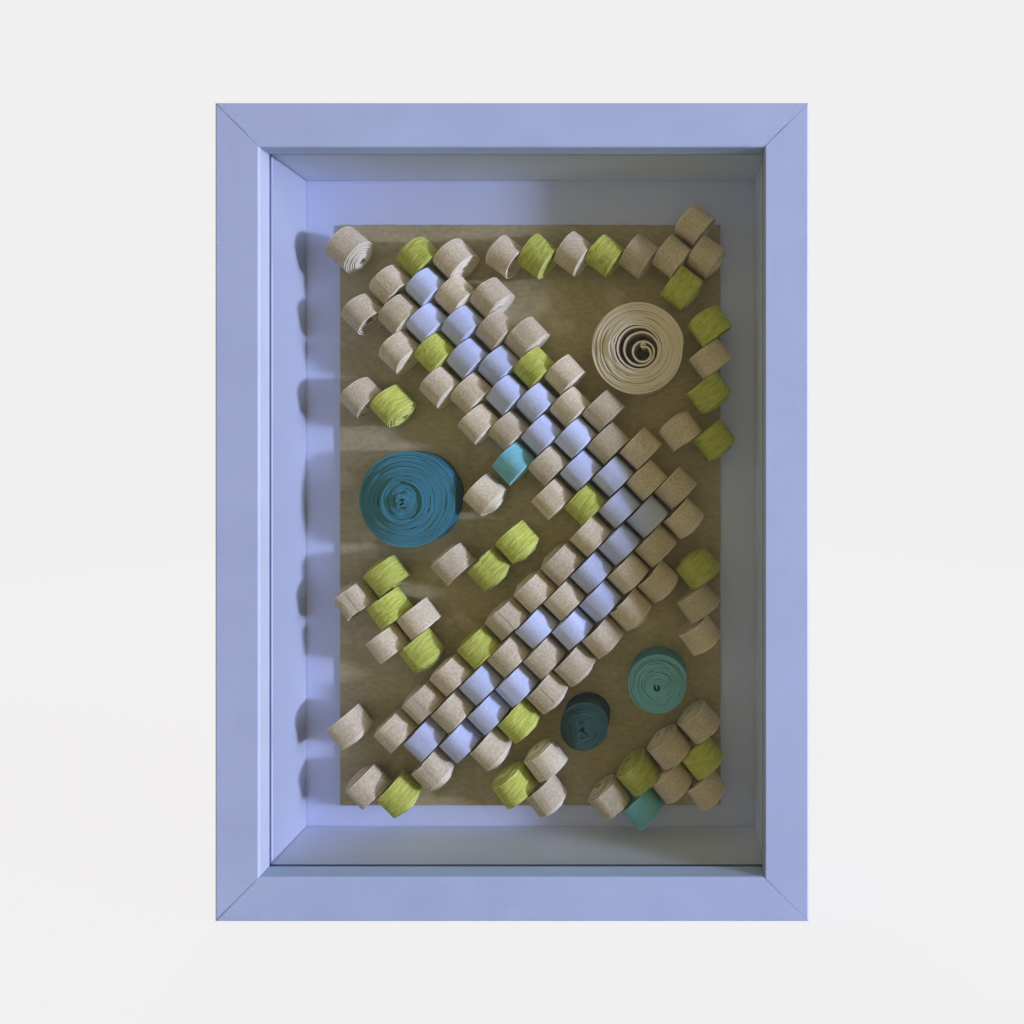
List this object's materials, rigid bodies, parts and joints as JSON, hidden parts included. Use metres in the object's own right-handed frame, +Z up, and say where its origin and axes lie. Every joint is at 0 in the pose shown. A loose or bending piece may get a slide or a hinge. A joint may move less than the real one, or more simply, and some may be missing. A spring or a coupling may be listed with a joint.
{
  "type": "framed quilled paper art",
  "caption": "Deep glazed box frame that stands or hangs, holding small paper rolls laid as bricks and flat paper coils on a kraft card.",
  "frame": {"origin": "middle of the face that the frame stands on", "axes": "+Z up the frame, +X across it to the right as seen from the front, +Y from the glass to the back"},
  "size_m": [0.232, 0.045, 0.32],
  "materials": {
    "white_foil": "fibreboard wrapped in white foil, satin, seen as pale lavender",
    "clear_glass": "clear and flat",
    "white_board": "matt white, seen as pale lavender",
    "panel_board": "hardboard, matt white on its front",
    "steel": "zinc plated",
    "natural_paper": "matt, fibrous, unbleached; the card under it is darker kraft",
    "lime_paper": "matt crepe",
    "turquoise_paper": "matt, smooth",
    "blue_paper": "matt",
    "sea_paper": "matt",
    "dark_paper": "matt"
  },
  "bodies": {
    "root": {"left_rail": "white_foil", "top_rail": "white_foil", "right_rail": "white_foil", "bottom_rail": "white_foil", "glass_pane": "clear_glass", "left_liner": "white_board", "top_liner": "white_board", "right_liner": "white_board", "bottom_liner": "white_board", "back_panel": "panel_board", "left_tab_1": "steel", "left_tab_2": "steel", "right_tab_1": "steel", "right_tab_2": "steel", "top_tab_1": "steel", "bottom_tab_1": "steel", "hanger": "steel", "card_with_rolls": "natural_paper", "blue_coil": "blue_paper", "open_coil": "natural_paper", "sea_coil": "sea_paper", "dark_coil": "dark_paper", "turquoise_roll_01": "turquoise_paper", "turquoise_roll_02": "turquoise_paper", "lime_roll_01": "lime_paper", "lime_roll_02": "lime_paper", "lime_roll_03": "lime_paper", "lime_roll_04": "lime_paper", "lime_roll_05": "lime_paper", "lime_roll_06": "lime_paper", "lime_roll_07": "lime_paper", "lime_roll_08": "lime_paper", "lime_roll_09": "lime_paper", "lime_roll_10": "lime_paper", "lime_roll_11": "lime_paper", "lime_roll_12": "lime_paper", "lime_roll_13": "lime_paper", "lime_roll_14": "lime_paper", "lime_roll_15": "lime_paper", "lime_roll_16": "lime_paper", "lime_roll_17": "lime_paper", "lime_roll_18": "lime_paper", "lime_roll_19": "lime_paper", "lime_roll_20": "lime_paper", "lime_roll_21": "lime_paper", "lime_roll_22": "lime_paper", "lime_roll_23": "lime_paper"}
  },
  "joints": []
}
